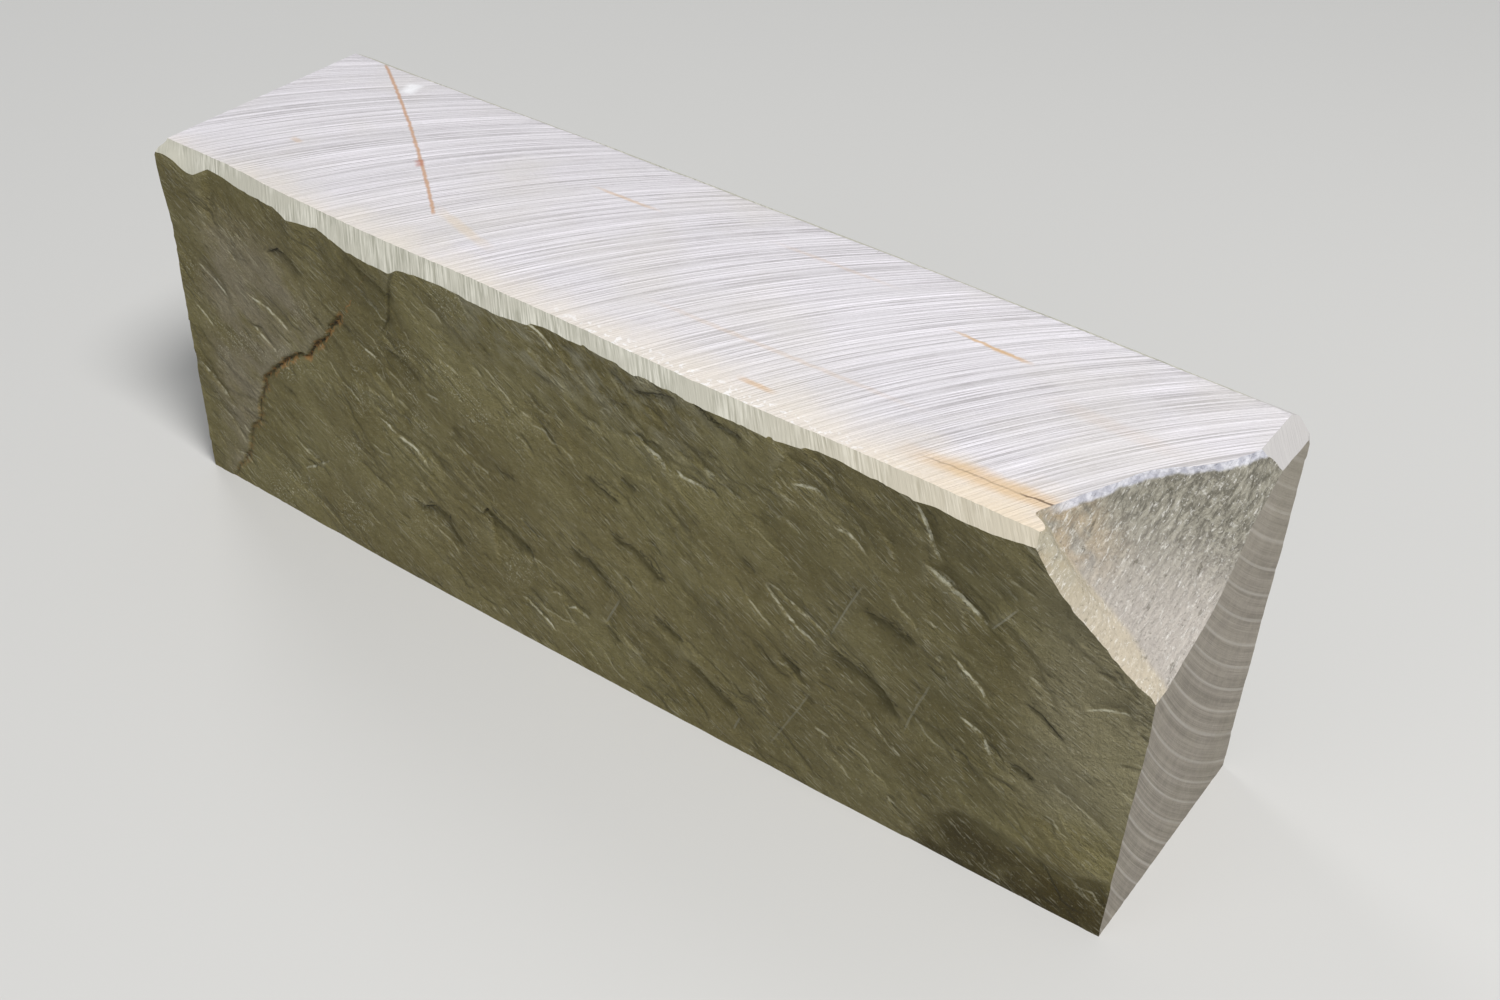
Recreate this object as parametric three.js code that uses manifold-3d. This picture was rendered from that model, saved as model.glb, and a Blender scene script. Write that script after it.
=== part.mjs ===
// A natural sharpening stone: one long block of fine, bedded sedimentary rock, standing on a narrow side.
// Its top, foot and two ends are sawn, its two broad faces are split along the bedding, the top edges are
// ground to small chamfers, and one upper corner has broken away.
// Millimetres, +Z up, +X along the stone. The origin is under the middle of the bounding box, at the foot.

import * as THREE from 'three';
import { mergeVertices } from 'three/addons/utils/BufferGeometryUtils.js';
import Module from 'manifold-3d';

// Driving dimensions of the sawn block.
const LENGTH = 212;
const HEIGHT = 73;
const DEPTH_LEFT = 54.8;         // front to back at the foot
const DEPTH_RIGHT = 46.6;
const BACK_LEAN = 4.0;           // how far the split back face leans out between foot and top
const BACK_BULGE = 1.3;          // how far it swells out at mid length
const LEFT_END_LEAN = -2.6;      // how far each end leans along X between foot and top
const RIGHT_END_LEAN = 1.0;

// The split front face isn't quite flat. At the top it lies behind the foot at the left and just ahead of it at
// the right, its foot swells out at mid length, and near the right end it falls back below the broken corner.
const FRONT_SETBACK_LEFT = 4.9;
const FRONT_SETBACK_RIGHT = -1.0;
const FOOT_SWELL = 1.3;
const RIGHT_FALL = 4.2;
const RIGHT_FALL_START = 186;
const RIGHT_FALL_HEIGHT = 45;

// Relief left on the split faces, as thin flakes with ragged edges.
const FLAKE_DEPTH_FRONT = 1.1;
const FLAKE_DEPTH_BACK = 1.3;
const FLAKE_LENGTH = 34;
const FLAKE_HEIGHT = 21;
const FLAKE_SLANT = 0.5;         // flakes run down towards the right, in mm of drop per mm

// Ground chamfers: each plane starts this far in from the block's own edge.
const FRONT_CHAMFER_LEFT = 7.3;
const FRONT_CHAMFER_RIGHT = 0.5;
const FRONT_CHAMFER_SLOPE = THREE.MathUtils.degToRad(45);
const END_CHAMFER = 3.4;
const END_CHAMFER_SLOPE = THREE.MathUtils.degToRad(45);
const BACK_CHAMFER = 2.2;
const BACK_CHAMFER_SLOPE = THREE.MathUtils.degToRad(28);
const BACK_CHAMFER_CUTS = 4;     // the back edge is curved, so it is ground in this many straight strokes

// The broken corner, at the right of the front: a scooped surface through these three points.
const BREAK_TOP_FRONT = new THREE.Vector3(LENGTH - 19.0, 1.0, HEIGHT);
const BREAK_TOP_BACK = new THREE.Vector3(LENGTH - 1.5, 38.5, HEIGHT - 0.5);
const BREAK_LOW = new THREE.Vector3(LENGTH + 0.5, 2.5, 50.0);
const BREAK_SCOOP = 3.2;         // depth of the hollow at its middle
const BREAK_GRAIN = 0.35;

// Mesh steps.
const FLAKE_GRID = 4.6;
const BREAK_GRID = 3.0;
const CUTTER = 90;               // size of the cutting blocks, larger than any face they trim

const stoneMaterial = new THREE.MeshStandardMaterial({
  name: 'stone',
  color: new THREE.Color(0.42, 0.41, 0.33),
  roughness: 0.86,
  metalness: 0.0,
});

const wasm = await Module();
wasm.setup();

// A repeatable value from 0 to 1 at a lattice point, and its smooth blend between lattice points.
function latticeValue(i, j, salt) {
  const wave = Math.sin(i * 127.1 + j * 311.7 + salt * 74.7) * 43758.5453;
  return wave - Math.floor(wave);
}

function smoothNoise(x, y, salt) {
  const i = Math.floor(x);
  const j = Math.floor(y);
  const s = THREE.MathUtils.smoothstep(x - i, 0, 1);
  const t = THREE.MathUtils.smoothstep(y - j, 0, 1);
  const low = THREE.MathUtils.lerp(latticeValue(i, j, salt), latticeValue(i + 1, j, salt), s);
  const high = THREE.MathUtils.lerp(latticeValue(i, j + 1, salt), latticeValue(i + 1, j + 1, salt), s);
  return THREE.MathUtils.lerp(low, high, t);
}

// Depth of the flakes that have come off a split face: broad scallops with a finer ripple on them.
function flakeDepth(x, z, salt) {
  const along = x / FLAKE_LENGTH;
  const across = (z + FLAKE_SLANT * x) / FLAKE_HEIGHT;
  const broad = smoothNoise(along, across, salt);
  const fine = smoothNoise(along * 2.7, across * 2.7, salt + 1);
  return 0.7 * broad + 0.3 * fine;
}

// The four upright faces, as functions of the height and of the place along the stone.
function frontFace(x, z) {
  const along = THREE.MathUtils.clamp(x / LENGTH, 0, 1);
  const setback = THREE.MathUtils.lerp(FRONT_SETBACK_RIGHT, FRONT_SETBACK_LEFT, (1 - along) ** 2);
  const rise = z / HEIGHT;
  const swell = FOOT_SWELL * Math.sin(Math.PI * along) * (1 - rise);
  const nearEnd = Math.max(x - RIGHT_FALL_START, 0) / (LENGTH - RIGHT_FALL_START);
  const fall = RIGHT_FALL * nearEnd ** 2 * THREE.MathUtils.smoothstep(z, 0, RIGHT_FALL_HEIGHT);
  const flakes = FLAKE_DEPTH_FRONT * Math.sqrt(rise) * (flakeDepth(x, z, 3) - 0.5);
  return setback * rise - swell + fall + flakes;
}

function backEdgeAtTop(x) {
  const along = THREE.MathUtils.clamp(x / LENGTH, 0, 1);
  const straight = THREE.MathUtils.lerp(DEPTH_LEFT, DEPTH_RIGHT, along) + BACK_LEAN;
  return straight + BACK_BULGE * Math.sin(Math.PI * along);
}

function backFace(x, z) {
  return backEdgeAtTop(x) - BACK_LEAN * (1 - z / HEIGHT) - FLAKE_DEPTH_BACK * flakeDepth(x, z, 11);
}

function endFace(atRight, z) {
  const lean = atRight ? RIGHT_END_LEAN : LEFT_END_LEAN;
  return (atRight ? LENGTH : 0) + lean * (z / HEIGHT);
}

// The sawn and split block, before its edges are ground.
function roughBlock() {
  const stepsAlong = Math.round(LENGTH / FLAKE_GRID);
  const stepsUp = Math.round(HEIGHT / FLAKE_GRID);
  const geometry = new THREE.BoxGeometry(1, 1, 1, stepsAlong, 1, stepsUp);
  const point = new THREE.Vector3();
  const corners = geometry.attributes.position;
  for (let i = 0; i < corners.count; i += 1) {
    point.fromBufferAttribute(corners, i);
    const z = (point.z + 0.5) * HEIGHT;
    const x = THREE.MathUtils.lerp(endFace(false, z), endFace(true, z), point.x + 0.5);
    const y = THREE.MathUtils.lerp(frontFace(x, z), backFace(x, z), point.y + 0.5);
    corners.setXYZ(i, x, y, z);
  }
  return geometry;
}

// A cutting block whose lower face lies on the plane through a point, and which reaches outwards from it.
function planeCutter(point, outward, along) {
  const side = new THREE.Vector3().crossVectors(outward, along).normalize();
  const geometry = new THREE.BoxGeometry(LENGTH * 1.6, CUTTER, CUTTER);
  geometry.translate(0, 0, CUTTER / 2);
  const frame = new THREE.Matrix4().makeBasis(along, side, outward);
  frame.setPosition(point);
  return geometry.applyMatrix4(frame);
}

// A chamfer along one of the top's long edges, from a point on the left of the top face to one on its right.
// Its plane falls away from that line by the slope, towards the front (-1) or the back (+1).
function longChamferCutter(left, right, slope, side) {
  const along = right.clone().sub(left).normalize();
  const outward = new THREE.Vector3(0, side * Math.sin(slope), Math.cos(slope));
  outward.addScaledVector(along, -outward.dot(along)).normalize();
  return planeCutter(left.clone().lerp(right, 0.5), outward, along);
}

function frontChamferCutter() {
  const left = new THREE.Vector3(0, FRONT_CHAMFER_LEFT, HEIGHT);
  const right = new THREE.Vector3(LENGTH, FRONT_CHAMFER_RIGHT, HEIGHT);
  return longChamferCutter(left, right, FRONT_CHAMFER_SLOPE, -1);
}

function backChamferCutters() {
  const run = LENGTH / BACK_CHAMFER_CUTS;
  return Array.from({ length: BACK_CHAMFER_CUTS }, (_, i) => {
    const left = new THREE.Vector3(i * run, backEdgeAtTop(i * run) - BACK_CHAMFER, HEIGHT);
    const right = new THREE.Vector3((i + 1) * run, backEdgeAtTop((i + 1) * run) - BACK_CHAMFER, HEIGHT);
    return longChamferCutter(left, right, BACK_CHAMFER_SLOPE, 1);
  });
}

function endChamferCutter() {
  const edge = new THREE.Vector3(endFace(true, HEIGHT) - END_CHAMFER, DEPTH_RIGHT, HEIGHT);
  const along = new THREE.Vector3(0, 1, 0);
  const outward = new THREE.Vector3(Math.sin(END_CHAMFER_SLOPE), 0, Math.cos(END_CHAMFER_SLOPE));
  return planeCutter(edge, outward, along);
}

// The piece that broke away: a block with a bulged, grainy underside, so that it leaves a scoop.
function brokenCorner() {
  const level = BREAK_TOP_BACK.clone().sub(BREAK_TOP_FRONT).normalize();
  const outward = new THREE.Vector3().crossVectors(BREAK_LOW.clone().sub(BREAK_TOP_FRONT), level).normalize();
  const downhill = new THREE.Vector3().crossVectors(outward, level);
  const middle = BREAK_TOP_FRONT.clone().add(BREAK_TOP_BACK).add(BREAK_LOW).divideScalar(3);
  const halfWidth = BREAK_TOP_FRONT.distanceTo(BREAK_TOP_BACK) / 2;
  const steps = Math.round(CUTTER / BREAK_GRID);
  const geometry = new THREE.BoxGeometry(CUTTER, CUTTER, CUTTER / 2, steps, steps, 1);
  geometry.translate(0, 0, CUTTER / 4);
  const corners = geometry.attributes.position;
  for (let i = 0; i < corners.count; i += 1) {
    if (corners.getZ(i) < 1) {
      const across = corners.getX(i) / halfWidth;
      const scoop = BREAK_SCOOP * (0.5 - Math.min(across * across, 1.6));
      const grain = BREAK_GRAIN * (smoothNoise(corners.getX(i) / 5, corners.getY(i) / 5, 23) - 0.5);
      corners.setZ(i, -scoop - grain);
    }
  }
  const frame = new THREE.Matrix4().makeBasis(level, downhill, outward);
  frame.setPosition(middle);
  return geometry.applyMatrix4(frame);
}

// Closed triangle mesh to manifold solid, and back.
function toSolid(geometry) {
  const plain = geometry.clone();
  plain.deleteAttribute('normal');
  plain.deleteAttribute('uv');
  const merged = mergeVertices(plain, 1e-5);
  return new wasm.Manifold(new wasm.Mesh({
    numProp: 3,
    vertProperties: Float32Array.from(merged.attributes.position.array),
    triVerts: Uint32Array.from(merged.index.array),
  }));
}

function toGeometry(solid) {
  const mesh = solid.getMesh();
  const geometry = new THREE.BufferGeometry();
  geometry.setAttribute('position', new THREE.Float32BufferAttribute(mesh.vertProperties, 3));
  geometry.setIndex(Array.from(mesh.triVerts));
  geometry.computeVertexNormals();
  return geometry;
}

function finishedStone() {
  const cutters = [frontChamferCutter(), ...backChamferCutters(), endChamferCutter(), brokenCorner()];
  const solid = cutters.reduce((stone, cutter) => stone.subtract(toSolid(cutter)), toSolid(roughBlock()));
  const geometry = toGeometry(solid);
  geometry.computeBoundingBox();
  const middle = geometry.boundingBox.getCenter(new THREE.Vector3());
  geometry.translate(-middle.x, -middle.y, -geometry.boundingBox.min.z);
  return geometry;
}

const stone = new THREE.Mesh(finishedStone(), stoneMaterial);
stone.name = 'stone_block';

const whetstone = new THREE.Group();
whetstone.name = 'whetstone';
whetstone.add(stone);

export default whetstone;
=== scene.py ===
# %% [markdown]
# # A natural sharpening stone
# A natural whetstone is one block of very fine, bedded rock. The maker saws its top, its foot and its ends,
# splits the two broad faces along the bedding, and grinds the top edges so that they don't chip. On this
# one a corner has broken away. The lesson models the block as it was made: a blank, split faces, saw marks,
# ground edges, the break, and then a finish for each kind of surface.
#
# The plain CAD shape is loaded first and stays fixed. The visual stone takes its place, with the fine relief.

# %% Load the fixed frame
import math

import bpy
import numpy as np
from mathutils import Matrix, Vector


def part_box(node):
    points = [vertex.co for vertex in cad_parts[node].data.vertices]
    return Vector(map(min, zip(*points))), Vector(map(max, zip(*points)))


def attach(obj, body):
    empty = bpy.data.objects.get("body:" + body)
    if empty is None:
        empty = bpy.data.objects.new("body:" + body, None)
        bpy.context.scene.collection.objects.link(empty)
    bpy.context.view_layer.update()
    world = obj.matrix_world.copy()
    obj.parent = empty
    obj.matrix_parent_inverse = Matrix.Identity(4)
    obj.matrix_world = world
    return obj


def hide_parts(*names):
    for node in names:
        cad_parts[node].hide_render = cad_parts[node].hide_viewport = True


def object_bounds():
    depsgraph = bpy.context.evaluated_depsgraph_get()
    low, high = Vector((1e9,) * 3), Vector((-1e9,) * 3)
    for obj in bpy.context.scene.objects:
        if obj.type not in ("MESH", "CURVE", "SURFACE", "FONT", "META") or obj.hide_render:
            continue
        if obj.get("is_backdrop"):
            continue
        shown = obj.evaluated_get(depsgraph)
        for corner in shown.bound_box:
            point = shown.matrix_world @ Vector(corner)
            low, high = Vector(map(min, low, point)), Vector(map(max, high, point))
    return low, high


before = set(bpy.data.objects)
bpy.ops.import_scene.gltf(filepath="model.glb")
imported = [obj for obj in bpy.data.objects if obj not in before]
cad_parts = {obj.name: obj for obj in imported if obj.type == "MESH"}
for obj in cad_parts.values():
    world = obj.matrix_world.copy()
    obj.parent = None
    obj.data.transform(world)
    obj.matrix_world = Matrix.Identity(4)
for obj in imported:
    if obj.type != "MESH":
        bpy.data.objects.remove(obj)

MM = 0.001
CAD_BOX = [list(corner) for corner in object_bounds()]
low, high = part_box("stone_block")
print("stone, mm:", [round((b - a) / MM, 1) for a, b in zip(low, high)])

# %% [markdown]
# ## Where things are measured from
# Every size below is in millimetres from the stone's own front left corner at the foot: x along the stone,
# y towards the back, z up. The block leans out past that corner to the left and swells out in front of it,
# so the corner is found from the frame's box and those two overhangs.

# %% The block's sizes
LENGTH, HEIGHT = 212.0, 73.0
DEPTH_LEFT, DEPTH_RIGHT = 54.8, 46.6      # front to back at the foot
BACK_LEAN, BACK_BULGE = 4.0, 1.3
LEFT_END_LEAN, RIGHT_END_LEAN = -2.6, 1.0
FRONT_SETBACK_LEFT, FRONT_SETBACK_RIGHT = 4.9, -1.0
FOOT_SWELL = 1.3
RIGHT_FALL, RIGHT_FALL_START, RIGHT_FALL_HEIGHT = 4.2, 186.0, 45.0

corner = Vector((low.x - LEFT_END_LEAN * MM, low.y + FOOT_SWELL * MM, low.z))
print("foot's front left corner, mm:", [round(c / MM, 2) for c in corner])

# %% [markdown]
# ## Camera
# The stone is seen from above its broken end, from the front right. There is no lens shift and no depth of
# field.

# %% Place the camera
view_from = corner + Vector((275.1, -178.3, 227.5)) * MM
view_along = Vector((-0.471, 0.636, -0.6115))
bpy.ops.object.select_all(action="DESELECT")
bpy.ops.object.camera_add(location=view_from, rotation=view_along.to_track_quat("-Z", "Y").to_euler())
camera = bpy.context.object
camera.name = "camera"
camera.data.sensor_width = 36.0
camera.data.lens = 42.6
bpy.context.scene.camera = camera
bpy.context.scene.view_settings.view_transform = "Standard"
print("camera", [round(c, 4) for c in camera.location])

# %% [markdown]
# ## Irregular surfaces from a few rules
# Split rock has no pattern that repeats, so its relief comes from smooth random values. A lattice of
# repeatable values, blended between its points, gives the same hills and hollows in each run. Blender's
# displace modifier could do this too, but it can't follow one long ledge, and here ledges matter most.

# %% Smooth random values
def blend(a, b, t):
    return a + (b - a) * t


def ease(value, start, end):
    t = np.clip((value - start) / (end - start), 0.0, 1.0)
    return t * t * (3.0 - 2.0 * t)


def lattice_value(i, j, salt):
    wave = np.sin(i * 127.1 + j * 311.7 + salt * 74.7) * 43758.5453
    return wave - np.floor(wave)


def hills(x, y, salt):
    i, j = np.floor(x), np.floor(y)
    s, t = ease(x - i, 0.0, 1.0), ease(y - j, 0.0, 1.0)
    near = blend(lattice_value(i, j, salt), lattice_value(i + 1, j, salt), s)
    far = blend(lattice_value(i, j + 1, salt), lattice_value(i + 1, j + 1, salt), s)
    return blend(near, far, t)


def rough_hills(x, y, salt, layers=3, fade=0.5):
    total, weight, share = 0.0, 0.0, 1.0
    for layer in range(layers):
        total = total + share * (hills(x, y, salt + layer) - 0.5)
        weight += share
        x, y, share = x * 2.03 + 5.3, y * 2.03 + 1.7, share * fade
    return total / weight


print("hills at (1.5, 2.5):", round(float(hills(np.array(1.5), np.array(2.5), 3)), 4))

# %% [markdown]
# ## The four upright faces
# The broad faces were split, so they wander, and both ends were sawn a little out of square. These rules give
# each face's place, and they are the same ones that the CAD shape was made with.

# %% Rules for the upright faces
def flake_depth(x, z, salt):
    along, across = x / 34.0, (z + 0.5 * x) / 21.0
    return 0.7 * hills(along, across, salt) + 0.3 * hills(along * 2.7, across * 2.7, salt + 1)


def front_plane(x, z):
    along = np.clip(x / LENGTH, 0.0, 1.0)
    setback = blend(FRONT_SETBACK_RIGHT, FRONT_SETBACK_LEFT, (1.0 - along) ** 2)
    rise = z / HEIGHT
    swell = FOOT_SWELL * np.sin(np.pi * along) * (1.0 - rise)
    near_end = np.maximum(x - RIGHT_FALL_START, 0.0) / (LENGTH - RIGHT_FALL_START)
    fall = RIGHT_FALL * near_end ** 2 * ease(z, 0.0, RIGHT_FALL_HEIGHT)
    return setback * rise - swell + fall


def back_edge_at_top(x):
    along = np.clip(x / LENGTH, 0.0, 1.0)
    return blend(DEPTH_LEFT, DEPTH_RIGHT, along) + BACK_LEAN + BACK_BULGE * np.sin(np.pi * along)


def back_plane(x, z):
    return back_edge_at_top(x) - BACK_LEAN * (1.0 - z / HEIGHT) - 1.3 * flake_depth(x, z, 11)


def left_end(z):
    return LEFT_END_LEAN * z / HEIGHT


def right_end(z):
    return LENGTH + RIGHT_END_LEAN * z / HEIGHT


print("thickness at mid length, foot and top, mm:",
      [round(float(back_plane(106.0, z) - front_plane(106.0, z)), 1) for z in (0.0, HEIGHT)])

# %% [markdown]
# ## Ledges on the split front
# A split face breaks from one bed to the next in ledges. Each ledge is a short ragged line: on one side the
# surface is at full height, and on the other it drops and then climbs back over a few millimetres. A drop
# below the line gives a dark, overhung edge, and a drop above it gives an edge that catches the light.
# Straight, steep joints cut across them.
#
# Each entry is the line's points, then the drop in millimetres and how far the surface takes to climb back.

# %% Ledges, joints and the iron seam
OVERHUNG_LEDGES = [
    ([(62, 20), (66, 19), (69, 20.5), (72, 20), (73.5, 17), (77, 13.5)], 0.75, 6.0),
    ([(81, 24), (83, 26.5), (86, 25), (90, 23.5), (93, 22), (94.5, 19)], 0.8, 6.0),
    ([(103, 28), (106.5, 26.5), (108, 27), (110.5, 25), (112.5, 23.5), (115, 22)], 0.6, 5.0),
    ([(112.5, 36.5), (116, 34.5), (118, 35), (121, 33), (124, 31), (126.5, 30)], 0.6, 5.0),
    ([(122.5, 22), (126, 20.5), (129.5, 19)], 0.6, 4.0),
    ([(129, 15), (132.5, 14.5), (135, 12.5), (138, 11), (141.5, 9)], 0.7, 5.0),
    ([(159, 35), (162.5, 33.5), (166.5, 32), (170, 30.5), (172, 27.5), (174, 25.5)], 1.0, 7.0),
    ([(165, 45), (170, 45), (174, 44), (176, 43)], 0.6, 4.0),
    ([(150, 28), (154.5, 26)], 0.4, 3.0),
    ([(132, 71), (136, 69.5), (139, 68.5), (143, 68)], 0.5, 4.0),
    ([(119, 67.5), (123, 68.5), (129.5, 70)], 0.4, 3.0),
    ([(111, 13.5), (115, 11)], 0.4, 3.0),
    ([(107.5, 45.5), (111, 44), (116, 42.5)], 0.4, 3.5),
    ([(116, 48.5), (119.5, 47)], 0.4, 3.0),
    ([(58.5, 51.5), (64, 50.5), (66.5, 49.5), (68.5, 47.5)], 0.4, 4.0),
    ([(194, 41.5), (197, 40), (199.5, 37.5), (201.5, 36)], 0.45, 1.2),
    ([(193.5, 28), (197.5, 26.5)], 0.6, 1.5),
    ([(27, 60), (31, 62), (35, 61), (38, 58)], 0.5, 5.0),
    ([(51, 70), (56, 67), (60, 66), (64, 63)], 0.6, 5.0),
]
LIT_LEDGES = [
    ([(146, 42), (148.5, 39), (151.5, 36.5), (154.5, 34.5), (158, 33)], 0.6, 3.0),
    ([(146.5, 42), (152.5, 39.5), (160, 36)], 0.4, 2.5),
    ([(173.5, 71), (175, 68), (176.5, 64.5), (178.5, 60.5)], 0.8, 6.0),
    ([(175.5, 59.5), (179, 57.5), (182.5, 55.5), (187.5, 52.5)], 1.1, 7.0),
    ([(119, 59.5), (121.5, 58), (124.5, 56.5), (126.5, 54.5)], 0.6, 3.5),
    ([(128, 56), (129.5, 54.5), (135, 54.5)], 0.5, 2.5),
    ([(133, 58.5), (138, 57.5)], 0.4, 2.5),
    ([(181, 45), (184, 42.5), (187, 40.5), (188.5, 37.5)], 0.5, 3.5),
    ([(183.5, 33), (188, 31), (190, 27)], 0.45, 3.0),
    ([(55, 35.5), (60, 33), (64.5, 32), (69, 28.5)], 0.45, 4.0),
    ([(50.5, 50), (57.5, 47.5)], 0.4, 3.0),
    ([(69, 46), (73, 46)], 0.3, 2.0),
    ([(3.5, 50.5), (14, 45)], 0.4, 4.0),
    ([(2, 40), (7.5, 36.5)], 0.35, 3.0),
    ([(0, 26), (9.5, 20.5)], 0.4, 3.0),
    ([(19, 48.5), (26, 47), (32.5, 44)], 0.45, 4.0),
    ([(20, 42), (27.5, 38)], 0.4, 3.5),
    ([(101, 12.5), (103.5, 13.5), (107.5, 12.5)], 0.45, 3.0),
    ([(90, 10), (96.5, 7), (99, 5)], 0.5, 4.0),
    ([(203, 43.5), (205.5, 44.5), (210, 45)], 0.4, 2.5),
    ([(151.5, 63.5), (155.5, 64), (158, 63)], 0.5, 3.0),
    ([(94.5, 72), (97.5, 70.5), (102.5, 67.5)], 0.5, 4.0),
    ([(159.5, 58.5), (162, 58.5), (165.5, 56)], 0.4, 2.5),
    ([(30, 12), (35, 15), (39, 18)], 0.45, 4.0),
]
JOINTS = [
    ([(66.5, 72), (64, 68), (62, 63), (61, 59), (57.5, 52.5)], 0.45, 8.0),
    ([(77, 44), (75, 39), (71, 33), (67.5, 25)], 0.25, 6.0),
    ([(62, 18), (58, 11)], 0.2, 5.0),
    ([(115, 21.5), (111, 13.5)], 0.35, 4.0),
    ([(156.5, 23), (153.5, 16.5), (147.5, 4.5)], 0.2, 4.0),
    ([(141.5, 8), (140, 4)], 0.3, 3.0),
    ([(165.5, 50.5), (162.5, 44), (159.5, 36.5)], -0.35, 4.0),
    ([(178.5, 37), (175, 27), (174, 23)], 0.25, 4.0),
    ([(187.5, 52.5), (191.5, 58.5)], -0.4, 4.0),
    ([(151.5, 70), (149, 65.5), (148, 61.5)], 0.4, 4.0),
    ([(210, 50), (210, 40)], -0.25, 2.0),
]
IRON_SEAM = [(48.5, 55.5), (46.5, 53), (44.5, 51), (42.5, 48), (40, 45.5), (37.5, 43), (36, 41), (33.5, 40.5),
             (31.5, 39), (29, 37.5), (27, 35.5), (25, 33.5), (22.5, 31.5), (21, 31), (21, 28), (20, 26),
             (19, 23.5), (18, 21), (17.5, 18.5), (15.5, 16.5), (14, 14), (13, 11), (12.5, 9), (10.5, 6.5),
             (8, 3.5), (6.5, 1)]
LEDGE_RAGGED, JOINT_RAGGED = 0.55, 0.15

# %% [markdown]
# ## From lines to relief
# For any point of the face, the nearest stretch of the line gives two numbers: how far the point is to the
# line's left or right side, and how far along the line it is. The drop uses the first one, and the second one
# lets each ledge die out at its ends.

# %% Distance from a ragged line
def beside_line(x, z, points):
    best = np.full(x.shape, 1e9)
    side = np.zeros(x.shape)
    along = np.zeros(x.shape)
    lengths = [math.dist(a, b) for a, b in zip(points, points[1:])]
    done = 0.0
    for (ax, az), (bx, bz), length in zip(points, points[1:], lengths):
        dx, dz = (bx - ax) / length, (bz - az) / length
        t = np.clip((x - ax) * dx + (z - az) * dz, 0.0, length)
        away = np.hypot(x - ax - t * dx, z - az - t * dz)
        left = np.where((z - az) * dx - (x - ax) * dz > 0.0, 1.0, -1.0)
        nearer = away < best
        best = np.where(nearer, away, best)
        side = np.where(nearer, left * away, side)
        along = np.where(nearer, done + t, along)
        done += length
    return side, along / done


def wander(x, z):
    return rough_hills(x / 2.4, z / 2.4, 17, 3, 0.6)


def ledge(x, z, points, drop, climb, ragged=LEDGE_RAGGED):
    reach = climb * 3.0
    near = (x > min(p[0] for p in points) - reach) & (x < max(p[0] for p in points) + reach)
    near &= (z > min(p[1] for p in points) - reach) & (z < max(p[1] for p in points) + reach)
    height = np.zeros(x.shape)
    side, along = beside_line(x[near], z[near], points)
    side = side + ragged * wander(x[near], z[near])
    fade = ease(along, 0.0, 0.2) * ease(along, 1.0, 0.8)
    height[near] = drop * fade * ease(side, -0.32, 0.18) * np.exp(-np.maximum(side, 0.0) / climb)
    return height


# %% [markdown]
# ## Small ledges
# Between the large ledges the face is covered with small ones. Most are a few millimetres long and the
# longest about 15, or 22 at the back, and they run down to the right with the bedding. They are scattered
# with a fixed seed, so each run gives the same ledges.

# %% Scatter the small ledges
def scattered_ledges(seed, count, x_range, z_range, slope_deg, longest=15.0):
    chance = np.random.default_rng(seed)
    found = []
    for _ in range(count):
        start = Vector((chance.uniform(*x_range), chance.uniform(*z_range)))
        length = 2.5 + (longest - 2.5) * chance.random() ** 2.5
        bends = max(2, round(length / 2.4))
        lean = math.radians(slope_deg + chance.normal(0.0, 9.0))
        points = [tuple(start)]
        for _ in range(bends):
            turn = lean + chance.normal(0.0, 0.27)
            start = start + Vector((math.cos(turn), math.sin(turn))) * length / bends
            points.append(tuple(start))
        if chance.random() < 0.5:
            points.reverse()
        found.append((points, chance.uniform(0.04, 0.24), chance.uniform(0.4, 2.0)))
    return found


SMALL_FRONT = scattered_ledges(7, 420, (-6.0, 212.0), (0.0, 76.0), -29.0)
SMALL_CRUSHED = scattered_ledges(8, 80, (98.0, 150.0), (54.0, 73.0), -20.0, 8.0)
SMALL_BACK = scattered_ledges(9, 220, (-6.0, 212.0), (0.0, 76.0), -32.0, 22.0)
print("small ledges:", len(SMALL_FRONT) + len(SMALL_CRUSHED), "in front,", len(SMALL_BACK), "at the back")

# %% [markdown]
# ## The split front's relief
# The parts are added up from broad to fine: scallops, thin flakes with stepped edges, ledges, joints, the
# seam, a hollow at the lower right, and grain. The result is how far the surface lies behind its plane.

# %% Relief of the front
EDGE_NICKS = [(-4, 3.5), (3, 3.7), (8, 3.8), (11, 5.2), (16, 4.8), (21, 4.0),
              (31.5, 3.0), (36, 1.9), (44, 2.3), (53, 0.8), (64, 0.3), (67, 1.2),
              (76, 1.4), (90.5, 0.5), (99.5, 1.0), (108.5, 0.8), (115.5, 0.3), (120.5, -0.4),
              (133.5, -0.9), (142.5, -1.1), (148.5, -1.3), (156, -0.5), (171, -1.1), (186, -1.6),
              (193, -1.2), (216, -1.2)]
HOLLOW_EDGE = [(175, 0), (177, 3), (180.5, 7.5), (184, 12), (189, 12.5), (197, 11.5), (205.5, 10), (213, 12)]

FRONT_BED, BACK_BED = -29.0, -33.0          # the bedding's slope, in degrees
NICKS_START, NICKS_FULL = 57.0, 69.0        # heights between which the top edge's own line takes over


def along_bed(x, z, slope_deg):
    slope = math.radians(slope_deg)
    return x * math.cos(slope) + z * math.sin(slope), z * math.cos(slope) - x * math.sin(slope)


def stepped(level):
    base = np.floor(level)
    return base + ease(level - base, 0.0, 0.14) - level


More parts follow.
